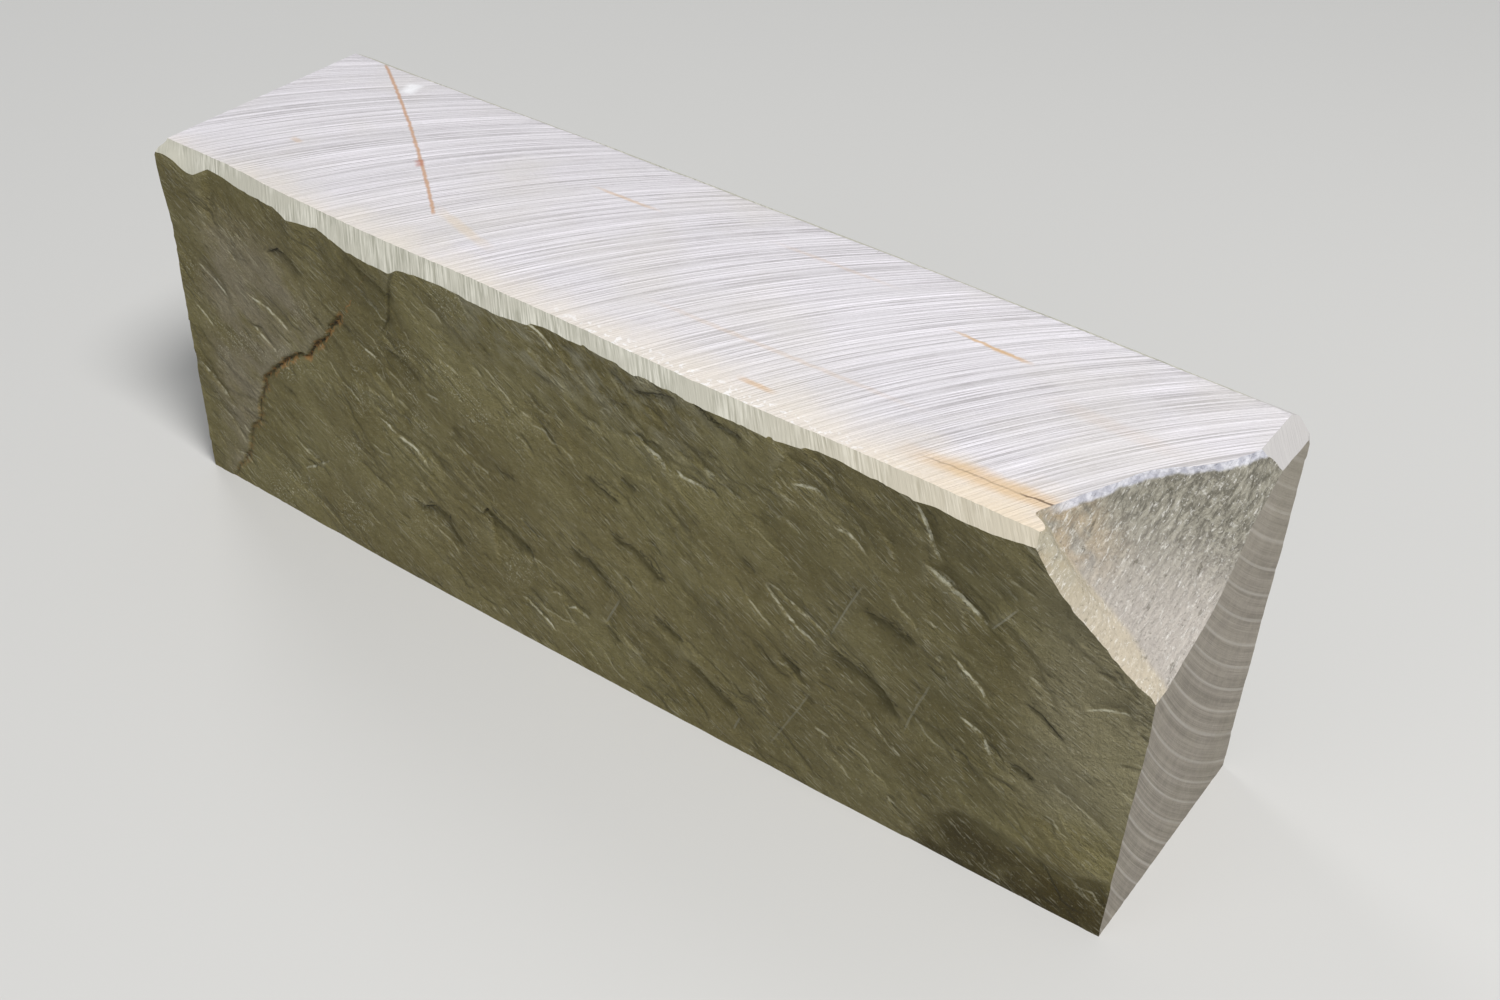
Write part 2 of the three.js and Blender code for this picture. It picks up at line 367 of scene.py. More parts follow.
def thin_flakes(x, z, salt, slope_deg, steps=9.0):
    run, rise = along_bed(x, z, slope_deg)
    ragged = 0.6 * rough_hills(run / 6.0, rise / 3.0, salt + 7)
    field = rough_hills(run / 36.0, rise / 13.0, salt, 2) * steps + ragged
    patch = ease(hills(run / 21.0, rise / 9.0, salt + 5), 0.38, 0.8)
    return 0.26 * stepped(field) * patch


def past_hollow_edge(x, z):
    side, _ = beside_line(x, z, HOLLOW_EDGE)
    return side + 2.4 * rough_hills(x / 7.0, z / 7.0, 83)


def beside_seam(x, z):
    side, along = beside_line(x, z, IRON_SEAM)
    return side + 1.6 * rough_hills(x / 2.6, z / 2.6, 77, 3, 0.6), along


def grain(x, z, salt, slope_deg):
    run, rise = along_bed(x, z, slope_deg)
    long_streaks = 0.06 * rough_hills(run / 13.0, rise / 3.6, salt, 3, 0.55)
    short_streaks = 0.08 * rough_hills(run / 3.6, rise / 1.2, salt + 4, 2, 0.6)
    return long_streaks + short_streaks * ease(hills(run / 14.0, rise / 8.0, salt + 9), 0.15, 0.8)


def front_relief(x, z):
    recess = 1.1 * np.sqrt(z / HEIGHT) * (flake_depth(x, z, 3) - 0.5)
    run, rise = along_bed(x, z, FRONT_BED)
    recess = recess + 0.9 * rough_hills(run / 24.0, rise / 14.0, 31, 2)
    nick = np.interp(x, *zip(*EDGE_NICKS)) - front_plane(x, z * 0.0 + NICKS_FULL)
    recess = blend(recess, nick, ease(z, NICKS_START, NICKS_FULL))
    recess = recess + thin_flakes(x, z, 41, FRONT_BED) + 0.5 * thin_flakes(x * 1.8, z * 1.8, 61, -24.0)
    recess = recess + 0.16 * rough_hills(x / 5.0, z / 5.0, 97, 4, 0.65)
    for points, drop, climb in OVERHUNG_LEDGES:
        recess = recess + ledge(x, z, points[::-1], drop, climb)
    for points, drop, climb in LIT_LEDGES:
        recess = recess + ledge(x, z, points, drop * 0.65, climb)
    for points, drop, climb in SMALL_FRONT + SMALL_CRUSHED:
        recess = recess + ledge(x, z, points, drop, climb)
    for points, drop, climb in JOINTS:
        recess = recess + ledge(x, z, points, drop, climb, JOINT_RAGGED)
    side, along = beside_seam(x, z)
    open_part = ease(along, 0.0, 0.06)
    recess = recess + (0.1 + 0.4 * ease(z, 22.0, 36.0)) * np.exp(-((side - 0.2) / 0.45) ** 2) * open_part
    recess = recess + 0.5 * ease(side, -0.4, 0.3) * np.exp(-np.maximum(side, 0.0) / 7.0) * open_part
    hollow = past_hollow_edge(x, z)
    recess = recess + 0.55 * ease(-hollow, -0.6, 1.4) * np.exp(-np.maximum(-hollow, 0.0) / 9.0)
    return (recess + grain(x, z, 91, FRONT_BED)) * (0.35 + 0.65 * ease(z, -1.0, 9.0))


def back_relief(x, z):
    run, rise = along_bed(x, z, BACK_BED)
    recess = thin_flakes(x, z, 141, BACK_BED) * 1.3 + 1.0 * rough_hills(run / 26.0, rise / 13.0, 131, 2)
    for points, drop, climb in SMALL_BACK:
        recess = recess + ledge(x, z, points, drop * 1.3, climb * 1.4)
    return recess + grain(x, z, 191, BACK_BED)


# %% [markdown]
# ## Saw marks
# A large round blade cut the top and the ends. It leaves arcs of its own radius, each one a little further
# along than the last. One number says on which arc a point lies, so a rule in that one number gives every
# mark: a strong line for each turn of the blade, and finer lines between.

# %% Arcs left by the saw
TOP_BLADE, TOP_BLADE_Y, TOP_FEED = 156.0, -65.4, 2.72
END_BLADE, END_BLADE_Y, END_FEED = 175.0, 147.7, 5.4


def top_arc(x, y):
    return x + np.sqrt(TOP_BLADE ** 2 - (y - TOP_BLADE_Y) ** 2)


def end_arc(y, z):
    return z + np.sqrt(END_BLADE ** 2 - (y - END_BLADE_Y) ** 2)


def turns(arc, feed, salt):
    return arc / feed + 0.3 * hills(arc / 9.0, arc * 0.0, salt)


def saw_marks(arc, feed, salt):
    turn = turns(arc, feed, salt)
    strong = np.exp(-((turn - np.round(turn)) / 0.10) ** 2)
    fine = rough_hills(arc / 1.9, arc * 0.0, salt + 3, 2)
    return 0.05 * strong + 0.07 * fine


# %% [markdown]
# ## The blank
# The block could start as a cube, but the split front needs steps of about 0.4 mm and the foot needs none. So
# the front is a grid primitive at its real size, which is extruded once to give the block its thickness. The
# edges of the four sides that cross from front to back are then subdivided, so that the sawn faces have steps
# too.

# %% Model the blank
STEPS_ALONG, STEPS_UP, STEPS_ACROSS = 556, 192, 42
BLANK_DEPTH = 50.0


def to_object_mode():
    if bpy.context.mode != "OBJECT":
        bpy.ops.object.mode_set(mode="OBJECT")


def mesh_points(piece):
    values = np.empty(len(piece.data.vertices) * 3, np.float32)
    piece.data.vertices.foreach_get("co", values)
    return values.reshape(-1, 3).astype(float)


def set_mesh_points(piece, points):
    piece.data.vertices.foreach_set("co", points.astype(np.float32).ravel())
    piece.data.update()


def face_outwards():
    bpy.ops.mesh.select_all(action="SELECT")
    bpy.ops.mesh.normals_make_consistent(inside=False)
    to_object_mode()


def select_parts(piece, kind, chosen):
    to_object_mode()
    mesh = piece.data
    for parts in (mesh.vertices, mesh.edges, mesh.polygons):
        parts.foreach_set("select", np.zeros(len(parts), bool))
    bpy.context.tool_settings.mesh_select_mode = (kind == "vertices", kind == "edges", kind == "polygons")
    getattr(mesh, kind).foreach_set("select", chosen)
    bpy.ops.object.mode_set(mode="EDIT")


bpy.ops.object.select_all(action="DESELECT")
bpy.ops.mesh.primitive_grid_add(x_subdivisions=STEPS_ALONG, y_subdivisions=STEPS_UP, size=1.0,
                                rotation=(math.radians(90), 0, 0))
stone = bpy.context.object
stone.name = "whetstone"
stone.data.name = "whetstone"
bpy.ops.object.transform_apply(location=True, rotation=True, scale=True)
bpy.ops.object.mode_set(mode="EDIT")
bpy.ops.mesh.select_all(action="SELECT")
bpy.ops.transform.resize(value=(LENGTH, 1.0, HEIGHT))
bpy.ops.transform.translate(value=(LENGTH / 2, 0.0, HEIGHT / 2))
bpy.ops.mesh.extrude_region_move(TRANSFORM_OT_translate={"value": (0.0, BLANK_DEPTH, 0.0)})
to_object_mode()
ends = np.empty(len(stone.data.edges) * 2, np.int32)
stone.data.edges.foreach_get("vertices", ends)
reach = mesh_points(stone)[ends.reshape(-1, 2), 1]
select_parts(stone, "edges", np.abs(reach[:, 0] - reach[:, 1]) > BLANK_DEPTH / 2)
bpy.ops.mesh.subdivide(number_cuts=STEPS_ACROSS - 1)
face_outwards()
print("blank faces:", len(stone.data.polygons))

# %% [markdown]
# ## Split and sawn faces
# Each point of the blank knows how far along, across and up it is. Its new place is blended between the left
# and right ends, between the front and back faces, and for the top and the ends the saw marks are added.

# %% Shape the faces
blank = mesh_points(stone)
along, across, up = blank[:, 0] / LENGTH, blank[:, 1] / BLANK_DEPTH, blank[:, 2] / HEIGHT
z = up * HEIGHT
x = blend(left_end(z), right_end(z), along)
front = front_plane(x, z) + front_relief(x, z)
back = back_plane(x, z) - back_relief(x, z)
y = blend(front, back, across)
AT_EDGE = 1e-4
sawn_top = up > 1.0 - AT_EDGE
sawn_right = along > 1.0 - AT_EDGE
sawn_left = along < AT_EDGE
z = np.where(sawn_top, z - saw_marks(top_arc(x, y), TOP_FEED, 201), z)
x = np.where(sawn_right, x - saw_marks(end_arc(y, z), END_FEED, 211), x)
x = np.where(sawn_left, x + saw_marks(end_arc(y, z), END_FEED, 221), x)
set_mesh_points(stone, np.column_stack([x, y, z]))
print("relief of the front, mm:", round(float(np.ptp(front - front_plane(x, z))), 2))

# %% [markdown]
# ## Fewer faces where nothing happens
# The grid has more faces than the stone needs. Thinning takes them away first where the surface is smooth, so
# the ledges keep theirs. The front keeps the most, and the flat foot hardly any.

# %% Thin the faces
def face_mask(test):
    faces = np.empty(len(stone.data.polygons) * 3, np.float32)
    stone.data.polygons.foreach_get("center", faces)
    return test(faces.reshape(-1, 3).astype(float))


def thin(name, test, ratio):
    select_parts(stone, "polygons", face_mask(test))
    bpy.ops.mesh.decimate(ratio=ratio)
    to_object_mode()
    print(name, "thinned, faces now", len(stone.data.polygons))


thin("foot", lambda c: c[:, 2] < 0.02, 0.04)
thin("left end", lambda c: c[:, 0] < left_end(c[:, 2]) + 0.2, 0.45)
thin("back", lambda c: c[:, 1] > 0.97 * back_plane(c[:, 0], c[:, 2]) - 2.0, 0.14)
thin("top", lambda c: c[:, 2] > HEIGHT - 0.15, 0.62)
thin("front", lambda c: c[:, 1] < front_plane(c[:, 0], c[:, 2]) + 4.0, 0.45)

# %% [markdown]
# ## A finish for each kind of surface
# The stone is one piece, but sawn, ground, split and broken surfaces look different. Each gets its own
# material slot, so that a cut can bring its own surface with it. The slots are made empty here and get their
# colours further down.

# %% Name the surfaces
SURFACES = ["split_face", "sawn_top", "sawn_end", "ground_edge", "broken_corner"]
finish_of = {name: bpy.data.materials.new(name) for name in SURFACES}
for name in SURFACES:
    stone.data.materials.append(finish_of[name])


def give_surface(piece, test, name):
    select_parts(piece, "polygons", test)
    piece.active_material_index = SURFACES.index(name)
    bpy.ops.object.material_slot_assign()
    to_object_mode()


def face_normals(piece):
    values = np.empty(len(piece.data.polygons) * 3, np.float32)
    piece.data.polygons.foreach_get("normal", values)
    return values.reshape(-1, 3)


middles = face_mask(lambda c: c)
normals = face_normals(stone)
give_surface(stone, (normals[:, 2] > 0.8) & (middles[:, 2] > HEIGHT - 0.5), "sawn_top")
give_surface(stone, (np.abs(normals[:, 0]) > 0.8) & ((middles[:, 0] < 1.0) | (middles[:, 0] > LENGTH - 1.0)),
             "sawn_end")
give_surface(stone, middles[:, 2] < 0.02, "sawn_end")
print("faces with each surface:",
      {n: sum(p.material_index == i for p in stone.data.polygons) for i, n in enumerate(SURFACES)})

# %% [markdown]
# ## Cutting tools
# A chamfer could be made with the bevel operator, but these edges were ground by eye after the faces were
# split: the flat of the wheel stays straight while the rock's edge wanders, which is why the lower edge of
# each chamfer is ragged. A boolean cut does just that. Each cutting tool is a fine grid laid where the new
# surface will be, given that surface's marks, and extruded outwards.

# %% Make a cutting tool
TOOL_REACH = 40.0        # how far a tool stands out past the stone


def cutting_tool(name, size, steps, place, marks, surface):
    bpy.ops.object.select_all(action="DESELECT")
    bpy.ops.mesh.primitive_grid_add(x_subdivisions=steps[0], y_subdivisions=steps[1], size=1.0)
    tool = bpy.context.object
    tool.name = name
    bpy.ops.object.mode_set(mode="EDIT")
    bpy.ops.mesh.select_all(action="SELECT")
    bpy.ops.transform.resize(value=(size[0], size[1], 1.0))
    to_object_mode()
    flat = mesh_points(tool)
    flat[:, 2] = marks(flat[:, 0], flat[:, 1])
    set_mesh_points(tool, flat)
    bpy.ops.object.mode_set(mode="EDIT")
    bpy.ops.mesh.select_all(action="SELECT")
    bpy.ops.mesh.extrude_region_move(TRANSFORM_OT_translate={"value": (0.0, 0.0, TOOL_REACH)})
    face_outwards()
    tool.data.transform(place)
    tool.data.materials.append(finish_of[surface])
    print(name, "has", len(tool.data.polygons), "faces")
    return tool


def cut(piece, tool):
    knife = piece.modifiers.new(tool.name, "BOOLEAN")
    knife.object = tool
    knife.operation = "DIFFERENCE"
    knife.solver = "MANIFOLD"
    knife.material_mode = "TRANSFER"
    bpy.ops.object.select_all(action="DESELECT")
    piece.select_set(True)
    bpy.context.view_layer.objects.active = piece
    bpy.ops.object.modifier_apply(modifier=knife.name)
    bpy.data.objects.remove(tool)
    print("after the cut:", len(piece.data.polygons), "faces")


def edge_frame(left, right, slope, side):
    along = (right - left).normalized()
    outward = Vector((0.0, side * math.sin(slope), math.cos(slope)))
    outward = (outward - outward.dot(along) * along).normalized()
    across = outward.cross(along)
    place = Matrix((along, across, outward)).transposed().to_4x4()
    place.translation = (left + right) / 2.0
    return place


# %% [markdown]
# ## Ground edges
# The front chamfer is wide at the left and runs out to almost nothing at the right, because the wheel's line
# was straight and the split face wasn't. Its fine scratches run across it. The back one is narrow and shallow
# and follows the curve of the back. The right end has a short one.

# %% Grind the top edges
FRONT_CHAMFER = [(-2, 7.5), (16, 6.8), (32, 5.3), (54, 4.2), (80, 3.7), (105, 2.8), (130, 1.6), (155, 1.4),
                 (175, 1.1), (190, 0.7), (212, 0.5)]       # along the stone, and in from the front
BACK_CHAMFER, BACK_CHAMFER_SLOPE = 2.2, math.radians(28)
END_CHAMFER = 3.4


def wheel_scratches(x, y):
    lean = x + 0.25 * y
    return (0.05 * rough_hills(lean / 0.9, y / 9.0, 301, 2) + 0.03 * rough_hills(lean / 3.4, y / 14.0, 303, 2)
            + 0.25 * rough_hills(x / 13.0, y / 9.0, 305, 3, 0.6))


def front_line(x, y):
    run = x + LENGTH / 2.0
    straight = blend(FRONT_CHAMFER[0][1], FRONT_CHAMFER[-1][1], run / LENGTH)
    inset = np.interp(run, *zip(*FRONT_CHAMFER))
    left_alone = 1.7 * ease(-y, 0.3, 4.0) * ease(run, 7.0, 0.0)
    return (straight - inset) * math.sin(math.radians(45)) + left_alone + wheel_scratches(x, y)


def back_line(x, y):
    run = x + LENGTH / 2.0
    straight = blend(back_edge_at_top(0.0), back_edge_at_top(LENGTH), run / LENGTH)
    return (back_edge_at_top(run) - straight) * math.sin(BACK_CHAMFER_SLOPE) + wheel_scratches(x, y)


front_left = Vector((0.0, FRONT_CHAMFER[0][1], HEIGHT))
front_right = Vector((LENGTH, FRONT_CHAMFER[-1][1], HEIGHT))
front_place = edge_frame(front_left, front_right, math.radians(45), -1.0)
cut(stone, cutting_tool("front_wheel", (240.0, 24.0), (520, 30), front_place, front_line, "ground_edge"))
back_left = Vector((0.0, back_edge_at_top(0.0) - BACK_CHAMFER, HEIGHT))
back_right = Vector((LENGTH, back_edge_at_top(LENGTH) - BACK_CHAMFER, HEIGHT))
back_place = edge_frame(back_left, back_right, BACK_CHAMFER_SLOPE, 1.0)
cut(stone, cutting_tool("back_wheel", (240.0, 16.0), (300, 16), back_place, back_line, "ground_edge"))
end_near = Vector((right_end(HEIGHT) - END_CHAMFER, 0.0, HEIGHT))
end_turn = Matrix.Rotation(math.radians(45), 4, "Y")
end_place = Matrix.Translation(end_near + Vector((0.0, 44.0, 0.0))) @ end_turn
cut(stone, cutting_tool("end_wheel", (16.0, 36.0), (30, 60), end_place, wheel_scratches, "ground_edge"))

# %% [markdown]
# The wheel also took two sharp tips off the top. The front left one is a single flat, and the back right
# one is three flats that meet, which reads as a rounded corner.

# %% Round off two tips
def tip_frame(point, outward):
    place = Vector(outward).normalized().to_track_quat("Z", "X").to_matrix().to_4x4()
    place.translation = point
    return place


left_tip = tip_frame((LEFT_END_LEAN + 0.1, FRONT_CHAMFER[0][1] - 2.1, HEIGHT - 0.3), (-0.80, -0.40, 0.45))
cut(stone, cutting_tool("left_tip", (30.0, 30.0), (60, 60), left_tip, wheel_scratches, "ground_edge"))
for name, outwards in (("right_tip", (0.72, 0.66, 0.22)), ("right_tip_end", (0.93, 0.30, 0.20)),
                       ("right_tip_back", (0.34, 0.92, 0.20))):
    right_tip = tip_frame((LENGTH + 0.1, back_edge_at_top(LENGTH) - 0.9, HEIGHT - 0.9), outwards)
    cut(stone, cutting_tool(name, (20.0, 20.0), (40, 40), right_tip, wheel_scratches, "ground_edge"))

# %% [markdown]
# ## The broken corner
# The corner broke away in a shallow scoop. Its surface is fibrous: grains and splinters run down the break. A
# narrow facet turns out towards the front face, where the last of the corner sheared off.

# %% Break the corner
BREAK_TOP_FRONT = Vector((LENGTH - 19.0, 1.0, HEIGHT))
BREAK_TOP_BACK = Vector((LENGTH - 1.5, 38.5, HEIGHT - 0.5))
BREAK_LOW = Vector((LENGTH + 0.5, 2.5, 50.0))
BREAK_SCOOP = 3.2
BREAK_GRAIN_SLOPE = 37.0

level = (BREAK_TOP_BACK - BREAK_TOP_FRONT).normalized()
outward = (BREAK_LOW - BREAK_TOP_FRONT).cross(level).normalized()
downhill = outward.cross(level)
break_place = Matrix((level, downhill, outward)).transposed().to_4x4()
break_place.translation = (BREAK_TOP_FRONT + BREAK_TOP_BACK + BREAK_LOW) / 3.0
facet_top = break_place.inverted() @ BREAK_TOP_FRONT
facet_low = break_place.inverted() @ BREAK_LOW


def beside_front(x, y):
    beside, _ = beside_line(x, y, [tuple(facet_top.xy), tuple(facet_low.xy)])
    return beside + 0.8 * rough_hills(x / 3.0, y / 3.0, 401)


def facet_width(y):
    return blend(4.6, 2.6, ease(y, -12.0, 8.0))


def torn_grain(x, y):
    scoop = -BREAK_SCOOP * ease(x + 0.25 * y, 20.0, 6.0)
    facet = (1.1 + 2.0 * ease(y, -15.0, 9.0)) * ease(beside_front(x, y) / facet_width(y), 1.2, 0.1)
    facet = facet + 1.0 * ease(y, -10.0, -20.0)
    run, rise = along_bed(x, y, BREAK_GRAIN_SLOPE)
    splinters = 0.40 * rough_hills(run / 9.0, rise / 2.2, 403, 3, 0.6)
    splinters = splinters + 0.35 * rough_hills(x / 9.0, y / 12.0, 407, 2)
    crumbs = 0.16 * rough_hills(run / 2.6, rise / 1.0, 411, 2, 0.7)
    return scoop + facet - splinters - crumbs


cut(stone, cutting_tool("break", (76.0, 76.0), (152, 152), break_place, torn_grain, "broken_corner"))
print("break faces outwards along", [round(c, 2) for c in outward])

# %% [markdown]
# ## Marks that the finishes follow
# A finish that follows a ragged ledge or a saw line needs to know where it is. The rules that shaped the
# stone are asked again at each point of the finished mesh, and the answers are kept on it as attributes.

# %% Keep the marks on the mesh
final = mesh_points(stone)
x, y, z = final[:, 0], final[:, 1], final[:, 2]


def keep(name, values):
    mark = stone.data.attributes.new(name, "FLOAT", "POINT")
    mark.data.foreach_set("value", np.asarray(values, np.float32))
    print(name, "from", round(float(np.min(values)), 2), "to", round(float(np.max(values)), 2))


local = (np.column_stack([x, y, z]) - np.array(break_place.translation)) @ np.array(break_place.to_3x3())
keep("facet", ease(beside_front(local[:, 0], local[:, 1]) / facet_width(local[:, 1]), 1.15, 0.85))
keep("top_turn", turns(top_arc(x, y), TOP_FEED, 201))
keep("end_turn", turns(end_arc(np.clip(y, -20, 80), z), END_FEED, 211))

in_front, at_back = y < 22.0, y > 30.0
MAP_X, MAP_Z, MAP_STEP = -4.0, -1.0, 0.5    # where the height map starts, and its step
along_map, up_map = np.arange(MAP_X, 217.0, MAP_STEP), np.arange(MAP_Z, 75.0, MAP_STEP)
step_x, step_z = np.meshgrid(along_map, up_map, indexing="ij")
height_map = front_relief(step_x, np.clip(step_z, 0.0, HEIGHT))


def soften(values, reach):
    for axis in (0, 1):
        padded = np.concatenate([np.take(values, [0] * reach, axis), values,
                                 np.take(values, [-1] * reach, axis)], axis)
        run = np.cumsum(padded, axis)
        size = values.shape[axis]
        high_end = np.take(run, np.arange(size) + 2 * reach, axis)
        values = (high_end - np.take(run, np.arange(size), axis)) / (2.0 * reach)
    return values


def read_map(values, px, pz):
    i = np.clip((px - MAP_X) / MAP_STEP, 0, values.shape[0] - 1.01)
    j = np.clip((pz - MAP_Z) / MAP_STEP, 0, values.shape[1] - 1.01)
    i0, j0 = i.astype(int), j.astype(int)
    s, t = i - i0, j - j0
    near = blend(values[i0, j0], values[i0 + 1, j0], s)
    return blend(near, blend(values[i0, j0 + 1], values[i0 + 1, j0 + 1], s), t)


deep = soften(soften(height_map, 4), 4) - height_map
keep("proud", np.where(in_front, read_map(deep, x, z), 0.0))

LEDGE_LINE_REACH = 1.4        # how far from a ledge its marks are still kept, in mm


def keep_ledge_lines(name, lines, ragged, lines_at_back=()):
    off, strength = np.full(len(x), LEDGE_LINE_REACH), np.zeros(len(x))
    entries = [(in_front, entry) for entry in lines] + [(at_back, entry) for entry in lines_at_back]
    for place, (points, drop, climb) in entries:
        near = place & (x > min(p[0] for p in points) - 2.0) & (x < max(p[0] for p in points) + 2.0)
        near &= (z > min(p[1] for p in points) - 2.0) & (z < max(p[1] for p in points) + 2.0)
        side, along = beside_line(x[near], z[near], points)
        side = side + ragged * wander(x[near], z[near])
        weight = np.clip(abs(drop) / 0.5, 0.0, 1.0) * ease(along, 0.0, 0.2) * ease(along, 1.0, 0.8)
        weight = weight * ease(np.abs(side), LEDGE_LINE_REACH, LEDGE_LINE_REACH / 2)
        nearer = np.abs(side) < np.abs(off[near])
        off[near] = np.where(nearer, side, off[near])
        strength[near] = np.where(nearer, weight, strength[near])
    keep(name, off)
    keep(name + "_strength", strength)


def runs_right(entry):
    return entry[0][0][0] < entry[0][-1][0]


small = [(points, drop * 0.9, climb) for points, drop, climb in SMALL_FRONT + SMALL_CRUSHED]
behind = [(points, drop * 1.6, climb) for points, drop, climb in SMALL_BACK]
overhung = [(points[::-1], drop, climb) for points, drop, climb in OVERHUNG_LEDGES]
# The first of the joints gets a dark line of painted shade, like the overhung ledges.
shaded_joint = (JOINTS[0][0], 0.2, 8.0)
# Lit lines mark pale bruised rock with a painted highlight, shaded lines painted shade, and the listed joints
# a painted highlight.
keep_ledge_lines("lit", LIT_LEDGES + [entry for entry in small if runs_right(entry)], LEDGE_RAGGED,
           [entry for entry in behind if runs_right(entry)])
keep_ledge_lines("shaded", overhung + [shaded_joint] + [entry for entry in small if not runs_right(entry)],
           LEDGE_RAGGED,
           [entry for entry in behind if not runs_right(entry)])
keep_ledge_lines("joint_highlight", JOINTS[3:9], JOINT_RAGGED)

keep("hollow", np.where(in_front, ease(-past_hollow_edge(x, z), -1.0, 4.5), 0.0))
side, along = beside_seam(x, z)
keep("seam", np.where(in_front, np.clip(side, -6.0, 6.0), 6.0))
beyond = ease(x, 1.0, 11.0) * ease(z, 68.0, 55.0) * ease(x + 0.6 * z, 78.0, 62.0)
keep("slate", np.where(in_front & (side < 0.0), beyond * ease(-side, -0.2, 0.6), 0.0))

# %% [markdown]
# ## The stone takes its place
# It is put where the frame says, in metres, and smooth shading is given except over sharp edges. It replaces
# the CAD node `stone_block`.

# %% Place the stone
stone.data.transform(Matrix.Translation(corner) @ Matrix.Scale(MM, 4))
bpy.ops.object.select_all(action="DESELECT")
stone.select_set(True)
bpy.context.view_layer.objects.active = stone
bpy.ops.object.mode_set(mode="EDIT")
face_outwards()
bpy.ops.object.shade_smooth_by_angle(angle=math.radians(38))
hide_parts("stone_block")
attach(stone, "root")
triangles = sum(len(face.vertices) - 2 for face in stone.data.polygons)
print("whetstone:", triangles, "triangles")

# %% [markdown]
# ## Mixing finishes
# A finish is a small tree of nodes. A few helpers keep the recipes readable: each one adds a node and gives
# back its output. All patterns read the object's own coordinates, turned into millimetres from the foot's
# corner, so the numbers in a recipe are real sizes.

# %% Helpers for the finishes
def colour(red, green, blue):
    share = [c / 255.0 for c in (red, green, blue)]
    return [c / 12.92 if c <= 0.04045 else ((c + 0.055) / 1.055) ** 2.4 for c in share] + [1.0]


COLOUR_A, COLOUR_B, COLOUR_OUT = 6, 7, 2    # a Mix node's sockets when it mixes colours
LINE_LENGTH = 70.0                          # how long a saw line runs before it changes, in mm


